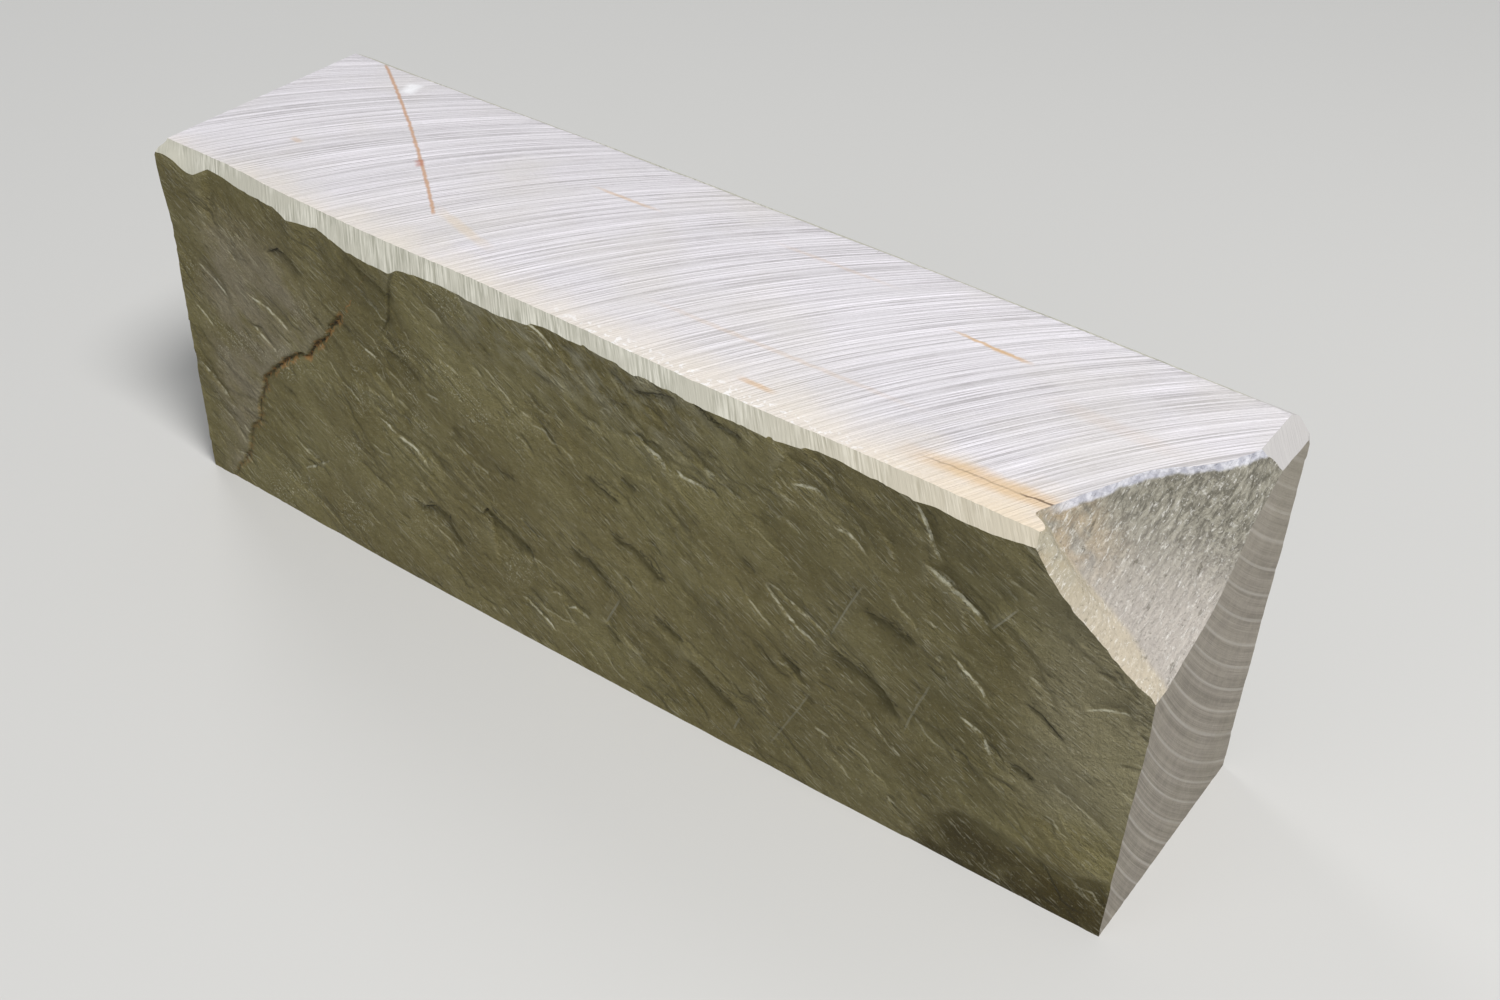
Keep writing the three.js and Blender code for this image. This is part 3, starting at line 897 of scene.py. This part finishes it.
class Recipe:
    def __init__(self, name):
        self.material = finish_of[name]
        self.material.use_nodes = True
        self.tree = self.material.node_tree
        self.shader = self.tree.nodes["Principled BSDF"]
        self.shader.inputs["Specular IOR Level"].default_value = 0.3
        place = self.tree.nodes.new("ShaderNodeTexCoord").outputs["Object"]
        moved = self.vector("SUBTRACT", place, corner)
        self.place = self.vector("SCALE", moved, scale=1.0 / MM)
        split = self.tree.nodes.new("ShaderNodeSeparateXYZ")
        self.tree.links.new(self.place, split.inputs[0])
        self.x, self.y, self.z = split.outputs

    def feed(self, socket, value):
        if isinstance(value, bpy.types.NodeSocket):
            self.tree.links.new(value, socket)
        else:
            socket.default_value = value

    def vector(self, operation, a, b=None, scale=None):
        node = self.tree.nodes.new("ShaderNodeVectorMath")
        node.operation = operation
        self.feed(node.inputs[0], a)
        if b is not None:
            self.feed(node.inputs[1], b)
        if scale is not None:
            self.feed(node.inputs["Scale"], scale)
        return node.outputs["Vector"]

    def number(self, operation, a, b=0.0, c=0.0):
        node = self.tree.nodes.new("ShaderNodeMath")
        node.operation = operation
        for socket, value in zip(node.inputs, (a, b, c)):
            self.feed(socket, value)
        return node.outputs[0]

    def times(self, a, b):
        return self.number("MULTIPLY", a, b)

    def plus(self, a, b):
        return self.number("ADD", a, b)

    def minus(self, a, b):
        return self.number("SUBTRACT", a, b)

    def rise(self, value, start, end):
        node = self.tree.nodes.new("ShaderNodeMapRange")
        node.interpolation_type = "SMOOTHSTEP"
        self.feed(node.inputs["Value"], value)
        node.inputs["From Min"].default_value = start
        node.inputs["From Max"].default_value = end
        return node.outputs["Result"]

    def specks(self, size, layers=2.0, roughness=0.5, stretch=(1.0, 1.0, 1.0),
               turn=(0.0, 0.0, 0.0), warp=0.0):
        mapping = self.tree.nodes.new("ShaderNodeMapping")
        mapping.vector_type = "TEXTURE"
        self.feed(mapping.inputs["Vector"], self.place)
        mapping.inputs["Rotation"].default_value = [math.radians(t) for t in turn]
        mapping.inputs["Scale"].default_value = [size * s for s in stretch]
        node = self.tree.nodes.new("ShaderNodeTexNoise")
        self.feed(node.inputs["Vector"], mapping.outputs[0])
        node.inputs["Scale"].default_value = 1.0
        node.inputs["Detail"].default_value = layers
        node.inputs["Roughness"].default_value = roughness
        node.inputs["Distortion"].default_value = warp
        return node.outputs[0]

    def lines(self, position, layers=2.0, roughness=0.5):
        both = self.tree.nodes.new("ShaderNodeCombineXYZ")
        self.feed(both.inputs[0], position)
        self.feed(both.inputs[1], self.number("DIVIDE", self.y, LINE_LENGTH))
        node = self.tree.nodes.new("ShaderNodeTexNoise")
        node.noise_dimensions = "2D"
        self.feed(node.inputs["Vector"], both.outputs[0])
        node.inputs["Scale"].default_value = 1.0
        node.inputs["Detail"].default_value = layers
        node.inputs["Roughness"].default_value = roughness
        return node.outputs[0]

    def mark(self, name):
        node = self.tree.nodes.new("ShaderNodeAttribute")
        node.attribute_name = name
        return node.outputs["Fac"]

    def mix(self, share, a, b):
        node = self.tree.nodes.new("ShaderNodeMix")
        node.data_type = "RGBA"
        self.feed(node.inputs["Factor"], share)
        self.feed(node.inputs[COLOUR_A], a)
        self.feed(node.inputs[COLOUR_B], b)
        return node.outputs[COLOUR_OUT]

    def wash(self, tone, where, strength, rgb):
        return self.mix(self.times(where, strength), tone, colour(*rgb))

    def thin_line(self, off, width, wobble, wobble_size=0.9):
        shake = self.times(self.minus(self.specks(wobble_size, 3.0, 0.6), 0.5), wobble)
        return self.rise(self.number("ABSOLUTE", self.plus(off, shake)), width, width * 0.3)

    def streak(self, flat_x, flat_y, start, end, width, wobble, bow=0.0, ends=0.15):
        length = math.dist(start, end)
        dx, dy = (end[0] - start[0]) / length, (end[1] - start[1]) / length
        px = self.minus(flat_x, start[0])
        py = self.minus(flat_y, start[1])
        along = self.plus(self.times(px, dx), self.times(py, dy))
        off = self.minus(self.times(py, dx), self.times(px, dy))
        share = self.number("DIVIDE", along, length)
        hump = self.times(share, self.minus(1.0, share))
        off = self.minus(off, self.times(hump, 4.0 * bow))
        shake = self.minus(self.specks(wobble * 2.0, 3.0, 0.6), 0.5)
        off = self.plus(off, self.times(shake, wobble))
        across = self.rise(self.number("ABSOLUTE", off), width, width * 0.2)
        across = self.times(across, self.rise(share, 0.0, ends))
        return self.times(across, self.rise(share, 1.0, 1.0 - ends))

    def finish(self, base, roughness, height):
        self.feed(self.shader.inputs["Base Color"], base)
        self.feed(self.shader.inputs["Roughness"], roughness)
        bump = self.tree.nodes.new("ShaderNodeBump")
        bump.inputs["Strength"].default_value = 1.0
        bump.inputs["Distance"].default_value = MM
        self.feed(bump.inputs["Height"], height)
        self.feed(self.shader.inputs["Normal"], bump.outputs[0])
        print(self.material.name, "has", len(self.tree.nodes), "nodes")


# %% [markdown]
# ## Split faces
# Fresh split rock: olive grey in soft patches, with painted shade where the bed dips, and paler along proud
# edges.
# Ledges that face the light get a pale line, part bruised rock and part painted highlight, overhung ones and
# the first of the joints a dark line of painted shade, and some joints a pale painted highlight. Fine strokes
# follow the bed, and a crushed, paler patch lies under the top edge. Left of the iron seam the bed is greyer,
# and the seam is a crack with painted shade along it and an ochre crust.

# %% Finish of the split faces
split = Recipe("split_face")
BED = (0.0, 29.0, 0.0)
patches = split.rise(split.specks(17.0, 4.0, 0.6, (2.0, 1.0, 0.9), BED), 0.38, 0.62)
tone = split.mix(patches, colour(107, 98, 58), colour(127, 119, 78))
drab = split.rise(split.specks(48.0, 2.0, 0.5), 0.4, 0.62)
tone = split.wash(tone, drab, 0.5, (116, 106, 67))
slate_cloud = split.rise(split.specks(11.0, 4.0, 0.65, (2.0, 1.0, 0.8), BED), 0.30, 0.60)
slate_tone = split.mix(split.specks(5.0, 3.0), colour(126, 117, 94), colour(140, 131, 107))
tone = split.mix(split.times(split.mark("slate"), slate_cloud), tone, slate_tone)
streaks = split.specks(1.4, 5.0, 0.7, (1.6, 1.0, 0.9), BED)
tone = split.mix(split.rise(streaks, 0.34, 0.68), split.mix(0.10, tone, colour(52, 50, 36)),
                 split.mix(0.07, tone, colour(176, 172, 150)))
hollow = split.times(split.mark("hollow"), split.rise(split.specks(9.0, 3.0), 0.2, 0.5))
tone = split.wash(tone, hollow, 0.92, (62, 52, 14))
near_end = split.times(split.rise(split.x, 138.0, 165.0), split.rise(split.x, 205.0, 185.0))
tone = split.wash(tone, near_end, 0.20, (72, 68, 48))
crisp_end = split.times(split.rise(split.x, 188.0, 202.0), split.rise(split.z, 16.0, 26.0))
tone = split.wash(tone, crisp_end, 0.30, (146, 142, 124))
print("bed tones:", len(split.tree.nodes), "nodes")

# %% Dust, crushed rock and strokes
dusting = split.specks(0.6, 4.0, 0.75)
tone = split.mix(split.rise(dusting, 0.58, 0.74), tone, split.mix(0.50, tone, colour(178, 174, 150)))
tone = split.mix(split.rise(dusting, 0.42, 0.26), tone, split.mix(0.52, tone, colour(36, 34, 22)))
crushed = split.times(split.rise(split.z, 52.0, 68.0), split.rise(split.x, 66.0, 92.0))
crushed = split.times(crushed, split.rise(split.x, 152.0, 120.0))
crumble = split.rise(split.specks(4.0, 5.0, 0.7, (2.0, 1.0, 0.9), BED), 0.42, 0.62)
crushed = split.times(crushed, crumble)
tone = split.wash(tone, crushed, 0.40, (158, 156, 138))
# Small pale specks on the left part of the face are painted glints.
painted_glint = split.times(split.rise(split.specks(14.0, 2.0), 0.50, 0.66), split.rise(split.x, 112.0, 84.0))
painted_glint = split.times(painted_glint, split.rise(split.specks(0.38, 2.0, 0.5), 0.60, 0.66))
tone = split.wash(tone, painted_glint, 0.5, (200, 197, 172))
strokes = split.specks(0.42, 2.0, 0.5, (7.0, 1.0, 0.8), BED, 0.3)
stroke_patch = split.number("MULTIPLY_ADD", split.rise(split.specks(7.0, 3.0, 0.6), 0.38, 0.60), 0.75, 0.25)
for start, end, share, stroke_tone in ((0.58, 0.68, 0.42, (176, 172, 150)), (0.42, 0.30, 0.48, (42, 39, 27))):
    stroke = split.rise(strokes, start, end)
    tone = split.mix(split.times(stroke, split.times(stroke_patch, share)), tone, colour(*stroke_tone))
field = split.specks(8.0, 4.0, 0.6, (2.6, 1.0, 0.8), BED)
hackle = split.number("FRACT", split.times(field, 17.0))
hackle_patch = split.rise(split.specks(9.0, 2.0, 0.5, (1.6, 1.0, 1.0), BED), 0.50, 0.64)
# A pale line of painted highlight runs along the crest of each hackle step, and a dark line of painted shade
# along its foot.
hackle_highlight = split.times(split.rise(hackle, 0.88, 0.96), hackle_patch)
tone = split.wash(tone, hackle_highlight, 0.22, (176, 172, 150))
hackle_shade = split.times(split.rise(hackle, 0.12, 0.02), hackle_patch)
tone = split.wash(tone, hackle_shade, 0.22, (50, 47, 32))
# Local dips in the relief are darkened with painted shade.
dips = split.rise(split.mark("proud"), 0.02, -0.30)
tone = split.wash(tone, dips, 0.30, (70, 64, 38))
ridges = split.rise(split.mark("proud"), 0.03, 0.25)
tone = split.wash(tone, ridges, 0.15, (150, 146, 124))
print("with dust and strokes:", len(split.tree.nodes), "nodes")

# %% Ledges and the seam
steps = 0.0
# Each ledge line is painted: pale along lit ledges, part bruised rock and part painted highlight; dark
# painted shade along overhung ones; a pale painted highlight along the listed joints.
for name, width, share, bruise_and_painted_light_tone in (("lit", 0.28, 0.80, colour(190, 187, 164)),
                                      ("shaded", 0.36, 0.80, colour(36, 33, 22)),
                                      ("joint_highlight", 0.26, 0.80, colour(166, 163, 142))):
    bruise_and_painted_light = split.thin_line(split.mark(name), width, 0.12 if name == "joint_highlight" else 0.4)
    strength = split.mark(name + "_strength")
    bruise_and_painted_light = split.times(bruise_and_painted_light, strength)
    shake = split.number("MULTIPLY_ADD", split.specks(0.9, 3.0, 0.6), 0.4, -0.2)
    drop = split.times(split.rise(split.plus(split.mark(name), shake), -0.10, 0.12), strength)
    steps = split.number("MULTIPLY_ADD", drop, -0.38, steps)
    if name == "lit":
        bruise_and_painted_light = split.times(bruise_and_painted_light, split.rise(split.specks(2.2, 3.0, 0.6), 0.36, 0.60))
    tone = split.mix(split.times(bruise_and_painted_light, share), tone, bruise_and_painted_light_tone)
upper = split.rise(split.z, 22.0, 38.0)
seam = split.minus(split.mark("seam"), 0.3)
# The dark crack along the seam, and the hair-thin line beside it, are painted shade; the ochre crust below is
# the rock's own rust.
seam_shade = split.thin_line(seam, 0.55, 0.6)
seam_shade = split.times(seam_shade, split.number("MULTIPLY_ADD", upper, 0.55, 0.45))
seam_shade = split.times(seam_shade, split.rise(split.specks(2.6, 3.0), 0.44, 0.56))
hair = split.times(split.thin_line(seam, 0.20, 0.3), split.rise(split.specks(1.8, 3.0), 0.36, 0.60))
hair = split.times(hair, 0.7)
tone = split.wash(tone, split.number("MAXIMUM", seam_shade, hair), 0.85, (52, 42, 31))
crust = split.thin_line(split.minus(seam, 0.3), 1.1, 1.2, 2.0)
crust = split.times(crust, split.number("MULTIPLY_ADD", upper, 0.65, 0.35))
crust = split.times(crust, split.rise(split.specks(1.3, 4.0, 0.65, warp=0.6), 0.48, 0.54))
ochre = split.mix(split.specks(1.0, 2.0), colour(132, 92, 48), colour(178, 142, 88))
tone = split.mix(split.times(crust, 0.85), tone, ochre)

# %% Roughness and fine relief of the split faces
roughness = split.number("MULTIPLY_ADD", split.specks(3.0), 0.2, 0.72)
tooth = split.times(split.specks(0.55, 3.0, 0.7), 0.24)
tooth = split.number("MULTIPLY_ADD", split.specks(2.2, 5.0, 0.72), 0.70, tooth)
tooth = split.number("MULTIPLY_ADD", split.times(strokes, stroke_patch), 0.38, tooth)
tooth = split.number("MULTIPLY_ADD", split.times(hackle, hackle_patch), 0.38, tooth)
tooth = split.plus(tooth, steps)
split.finish(tone, roughness, tooth)

# %% [markdown]
# ## Sawn top
# Dry and pale, almost lavender, with the blade's arcs as fine light and dark lines, partly stone dust in the
# grooves and partly painted shading of their relief. A hair-thin rusty vein crosses it at the left, shorter
# ones lie along the bedding, and the front margin is stained cream.

# %% Finish of the sawn top
top = Recipe("sawn_top")
turn = top.mark("top_turn")
phase = top.number("FRACT", turn)
strong = top.number("ABSOLUTE", top.minus(phase, 0.5))
strong = top.rise(strong, 0.40, 0.49)
# The arcs' light and dark lines are partly stone dust in the grooves and partly painted shading of the saw
# relief.
fine = top.lines(top.times(turn, 5.6), 4.0, 0.75)
tone = top.mix(top.rise(fine, 0.36, 0.64), colour(176, 171, 173), colour(238, 233, 238))
pale = top.rise(top.specks(5.0, 3.0, 0.6, (2.0, 1.0, 1.0)), 0.40, 0.62)
tone = top.wash(tone, pale, 0.45, (214, 210, 213))
tone = top.wash(tone, strong, 0.40, (240, 237, 240))
between = top.rise(top.lines(top.times(turn, 1.1), 2.0), 0.36, 0.64)
tone = top.wash(tone, between, 0.14, (182, 178, 178))
soil = top.rise(top.specks(30.0, 3.0, 0.6), 0.42, 0.7)
tone = top.wash(tone, soil, 0.35, (206, 200, 190))
margin = top.rise(top.plus(top.y, top.times(top.specks(7.0, 3.0), 8.0)), 17.0, 5.0)
tone = top.wash(tone, margin, 0.55, (228, 216, 196))
right_margin = top.times(margin, top.rise(top.x, 150.0, 190.0))
tone = top.wash(tone, right_margin, 0.5, (226, 203, 166))
vein = top.streak(top.x, top.y, (6.0, 57.0), (61.0, 15.6), 0.55, 0.7, 0.9, 0.03)
tone = top.wash(tone, vein, 0.8, (192, 146, 108))
ghost = top.streak(top.x, top.y, (56.0, 19.0), (80.0, 12.0), 1.6, 1.6, 0.0, 0.4)
tone = top.wash(tone, ghost, 0.35, (220, 196, 160))
SHORT_VEINS = [((75, 41.4), (94, 41.2), 0.6, 0.5), ((154, 38.4), (172, 37.0), 0.5, 0.8),
               ((162, 37.6), (172, 37.0), 0.8, 0.5), ((113, 44.5), (144, 44.0), 0.7, 0.2),
               ((104, 16.5), (169, 15.8), 0.8, 0.2), ((175, 30.5), (204, 28.5), 2.4, 0.10),
               ((135, 6.6), (144, 6.4), 1.0, 0.6), ((16, 22.0), (20, 21.5), 1.0, 0.35)]
for start, end, width, strength in SHORT_VEINS:
    bed = top.streak(top.x, top.y, start, end, width, 0.9, 0.0, 0.35)
    tone = top.mix(top.times(bed, strength), tone, colour(206, 168, 122))
stain = top.streak(top.x, top.y, (164.0, 5.8), (200.0, 7.0), 3.0, 3.0, 0.2, 0.35)
tone = top.wash(tone, stain, 0.55, (212, 172, 112))
spot = top.streak(top.x, top.y, (42.5, 30.0), (45.5, 27.7), 1.3, 1.4, 0.0, 0.3)
tone = top.wash(tone, spot, 0.6, (176, 106, 84))
chip = top.streak(top.x, top.y, (18.5, 54.0), (20.5, 48.5), 2.4, 2.0, 0.0, 0.25)
tone = top.wash(tone, chip, 0.75, (246, 245, 247))
beside_edge = top.plus(top.y, top.times(top.x, 0.033))
knocks = top.times(top.rise(beside_edge, 9.4, 8.2), top.rise(top.specks(1.3, 3.0, 0.6), 0.54, 0.62))
middle = top.times(top.rise(top.x, 90.0, 110.0), top.rise(top.x, 180.0, 150.0))
knocks = top.times(knocks, middle)
tone = top.wash(tone, knocks, 0.5, (250, 249, 250))
for start, end, strength in (((168.0, 6.0), (188.0, 6.6), 0.35), ((185.0, 6.4), (196.0, 7.2), 0.85)):
    crack = top.streak(top.x, top.y, start, end, 0.32, 0.9, 0.2, 0.25)
    tone = top.mix(top.times(crack, strength), tone, colour(88, 66, 42))
dust = top.specks(0.45, 2.0, 0.7)
tone = top.mix(top.rise(dust, 0.25, 0.8), top.mix(0.10, tone, colour(120, 118, 116)), tone)
furrows = top.times(top.lines(top.times(turn, 5.2), 3.0, 0.75), 0.24)
furrows = top.number("MULTIPLY_ADD", top.specks(0.5, 2.0, 0.7), 0.05, furrows)
top.finish(tone, top.number("MULTIPLY_ADD", fine, 0.12, 0.68), furrows)

# %% [markdown]
# ## Sawn ends and foot
# The same blade cut the ends, but nobody has rubbed them, so they stay greyer. Each turn of the blade left a
# thin lighter line.

# %% Finish of the sawn ends
end = Recipe("sawn_end")
turn = end.mark("end_turn")
phase = end.number("FRACT", end.plus(turn, 0.5))
line = end.rise(end.number("ABSOLUTE", end.minus(phase, 0.5)), 0.10, 0.01)
fine = end.lines(end.times(turn, 4.3), 4.0, 0.7)
tone = end.mix(end.rise(fine, 0.3, 0.7), colour(128, 121, 110), colour(153, 145, 134))
tone = end.wash(tone, line, 0.42, (200, 194, 186))
blotch = end.rise(end.specks(3.5, 4.0, 0.65), 0.38, 0.62)
tone = end.wash(tone, blotch, 0.22, (178, 170, 154))
tone = end.wash(tone, end.rise(end.z, 42.0, 66.0), 0.30, (174, 166, 152))
cloud = end.rise(end.specks(22.0, 3.0, 0.6), 0.4, 0.7)
tone = end.wash(tone, cloud, 0.35, (138, 132, 116))
tone = end.mix(end.rise(end.specks(0.5, 2.0, 0.7), 0.2, 0.8), end.mix(0.15, tone, colour(70, 68, 60)), tone)
furrows = end.times(end.lines(end.times(turn, 7.1), 3.0, 0.7), 0.12)
furrows = end.number("MULTIPLY_ADD", end.specks(0.5, 2.0, 0.7), 0.05, furrows)
end.finish(tone, 0.8, furrows)

# %% [markdown]
# ## Ground edges
# Pale greenish grey with fine scratches from the wheel, whiter where the wheel only skimmed the rock.

# %% Finish of the ground edges
ground = Recipe("ground_edge")
scratches = ground.specks(0.36, 3.0, 0.6, (1.0, 22.0, 22.0), (0, 0, 46))
tone = ground.mix(ground.rise(scratches, 0.34, 0.66), colour(160, 158, 143), colour(206, 203, 190))
cloud = ground.specks(8.0, 3.0, 0.6)
tone = ground.mix(ground.rise(cloud, 0.4, 0.65), tone, colour(182, 179, 165))
near = ground.rise(ground.y, 24.0, 16.0)
warm = ground.times(ground.rise(ground.x, 120.0, 200.0), near)
tone = ground.wash(tone, warm, 0.45, (206, 190, 164))
far = ground.rise(ground.x, 200.0, 206.0)
far = ground.minus(far, ground.times(far, near))
tone = ground.wash(tone, far, 0.7, (186, 182, 184))
height = ground.times(scratches, 0.14)
ground.finish(tone, 0.75, height)

# %% [markdown]
# ## The broken corner
# Torn rock: beige to greenish grey, with painted light making the foot of the scoop paler where it turns up,
# a bruised white lip at the top and a yellower facet along the front.

# %% Finish of the broken corner
torn = Recipe("broken_corner")
grain_way = break_place.to_3x3() @ Vector((math.cos(math.radians(BREAK_GRAIN_SLOPE)),
                                           math.sin(math.radians(BREAK_GRAIN_SLOPE)), 0.0))
BREAK_TURN = [math.degrees(a) for a in grain_way.to_track_quat("X", "Z").to_euler()]
fibres = torn.specks(0.75, 5.0, 0.7, (3.2, 1.0, 1.0), BREAK_TURN, 0.4)
flecks = torn.specks(0.5, 3.0, 0.7)
facet = torn.mark("facet")
tone = torn.mix(torn.rise(fibres, 0.36, 0.64), colour(112, 108, 96), colour(168, 163, 148))
# The lower part of the break, which turns up towards the light, is made paler with painted light.
low_painted_light = torn.rise(torn.plus(torn.z, torn.times(torn.y, 0.45)), 80.0, 60.0)
tone = torn.wash(tone, low_painted_light, 0.72, (206, 197, 189))
brown = torn.times(torn.rise(torn.y, 17.0, 7.0), torn.rise(torn.z, 60.0, 70.0))
brown = torn.times(brown, torn.rise(torn.specks(3.0, 3.0), 0.3, 0.6))
tone = torn.wash(tone, brown, 0.6, (196, 172, 138))
facet_tone = torn.mix(torn.rise(torn.z, 56.0, 70.0), colour(196, 182, 154), colour(172, 164, 140))
facet_dark = torn.rise(fibres, 0.3, 0.7)
facet_tone = torn.mix(facet_dark, torn.mix(0.25, facet_tone, colour(120, 112, 88)), facet_tone)
tone = torn.mix(torn.times(facet, 0.62), tone, facet_tone)
bright = torn.rise(torn.specks(0.6, 4.0, 0.75, (3.5, 1.0, 1.0), BREAK_TURN, 0.4), 0.56, 0.66)
tone = torn.wash(tone, bright, 0.70, (232, 228, 220))
dark = torn.rise(torn.specks(0.9, 4.0, 0.75, (2.6, 1.0, 1.0), BREAK_TURN, 0.4), 0.42, 0.32)
tone = torn.wash(tone, dark, 0.55, (88, 84, 68))
tone = torn.mix(torn.rise(flecks, 0.58, 0.72), tone, torn.mix(0.50, tone, colour(236, 234, 228)))
tone = torn.mix(torn.rise(flecks, 0.42, 0.28), tone, torn.mix(0.40, tone, colour(80, 77, 62)))
lip = torn.rise(torn.plus(torn.z, torn.times(torn.specks(3.0, 3.0), 1.4)), 72.5, 73.0)
lip = torn.times(lip, torn.rise(torn.y, 5.0, 10.0))
lip_patch = torn.rise(torn.specks(1.4, 3.0), 0.35, 0.65)
lip_tone = torn.mix(lip_patch, colour(188, 188, 200), colour(230, 229, 236))
tone = torn.mix(torn.times(lip, 0.85), tone, lip_tone)
coarse = torn.number("MULTIPLY_ADD", facet, -0.6, 1.0)
height = torn.number("MULTIPLY_ADD", flecks, 0.30, torn.times(fibres, 0.75))
height = torn.times(height, coarse)
torn.finish(tone, 0.85, height)

# %% [markdown]
# ## Floor and light
# The stone stands on a plain pale floor. A soft light hangs high above its right end, just in front of the
# split face, so the top is bright and the light grazes that face and models its ledges. Two weak ones fill
# in, from the front left and from behind on the left.

# %% Floor
bpy.ops.object.select_all(action="DESELECT")
bpy.ops.mesh.primitive_plane_add(size=6.0, location=(0.0, 0.0, low.z))
floor = bpy.context.object
floor.name = "floor"
floor_finish = bpy.data.materials.new("pale_floor")
floor_finish.use_nodes = True
floor_finish.node_tree.nodes["Principled BSDF"].inputs["Base Color"].default_value = (0.58, 0.57, 0.55, 1.0)
floor_finish.node_tree.nodes["Principled BSDF"].inputs["Roughness"].default_value = 0.7
floor.data.materials.append(floor_finish)
floor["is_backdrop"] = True

# %% Lights
def soft_light(name, place, aim, size, power):
    along = Vector(aim) - Vector(place)
    bpy.ops.object.light_add(type="AREA", location=place, rotation=along.to_track_quat("-Z", "Y").to_euler())
    light = bpy.context.object
    light.name = name
    light.data.shape = "DISK"
    light.data.size = size
    light.data.energy = power
    print(name, "light of", power, "W")


soft_light("key", (0.60, -0.22, 1.15), (0.0, 0.0, 0.05), 0.45, 16.1)
soft_light("fill", (-0.5, -1.2, 0.6), (0.0, 0.0, 0.05), 0.9, 2.0)
soft_light("back_fill", (-0.9, 0.45, 0.75), (0.0, 0.0, 0.03), 0.4, 2.2)
world = bpy.data.worlds.new("studio")
world.use_nodes = True
world.node_tree.nodes["Background"].inputs["Color"].default_value = (0.9, 0.95, 1.0, 1.0)
world.node_tree.nodes["Background"].inputs["Strength"].default_value = 0.30
bpy.context.scene.world = world

# %% Compare the sizes
shown_box = [list(corner_of) for corner_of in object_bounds()]
for name, box in (("CAD", CAD_BOX), ("shown", shown_box)):
    print(name, [round((b - a) / MM, 2) for a, b in zip(*box)])
